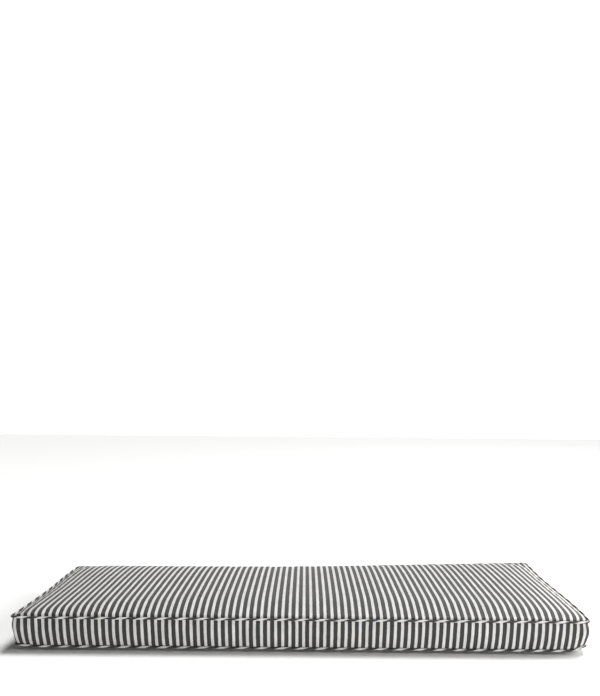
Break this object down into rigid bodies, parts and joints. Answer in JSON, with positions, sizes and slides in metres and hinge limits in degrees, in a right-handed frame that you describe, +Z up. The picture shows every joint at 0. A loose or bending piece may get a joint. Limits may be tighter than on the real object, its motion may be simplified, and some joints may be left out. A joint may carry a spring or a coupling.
{
  "type": "bench cushion",
  "caption": "Long boxed bench cushion with a crowned top, an upright boxing strip and a corded welt in the top and bottom seams.",
  "frame": {"origin": "centre of the cushion's outline, on the surface that it rests on", "axes": "+X along the cushion's length, +Y from its front side to its back side, +Z up through the crowned top"},
  "size_m": [1.2339, 0.449, 0.0988],
  "materials": {
    "ticking": "charcoal and white striped cotton ticking, matt",
    "welt_cloth": "the same striped ticking cut on the bias over cord, matt"
  },
  "bodies": {
    "root": {"cushion": "ticking", "welt_top": "welt_cloth", "welt_bottom": "welt_cloth"}
  },
  "joints": []
}
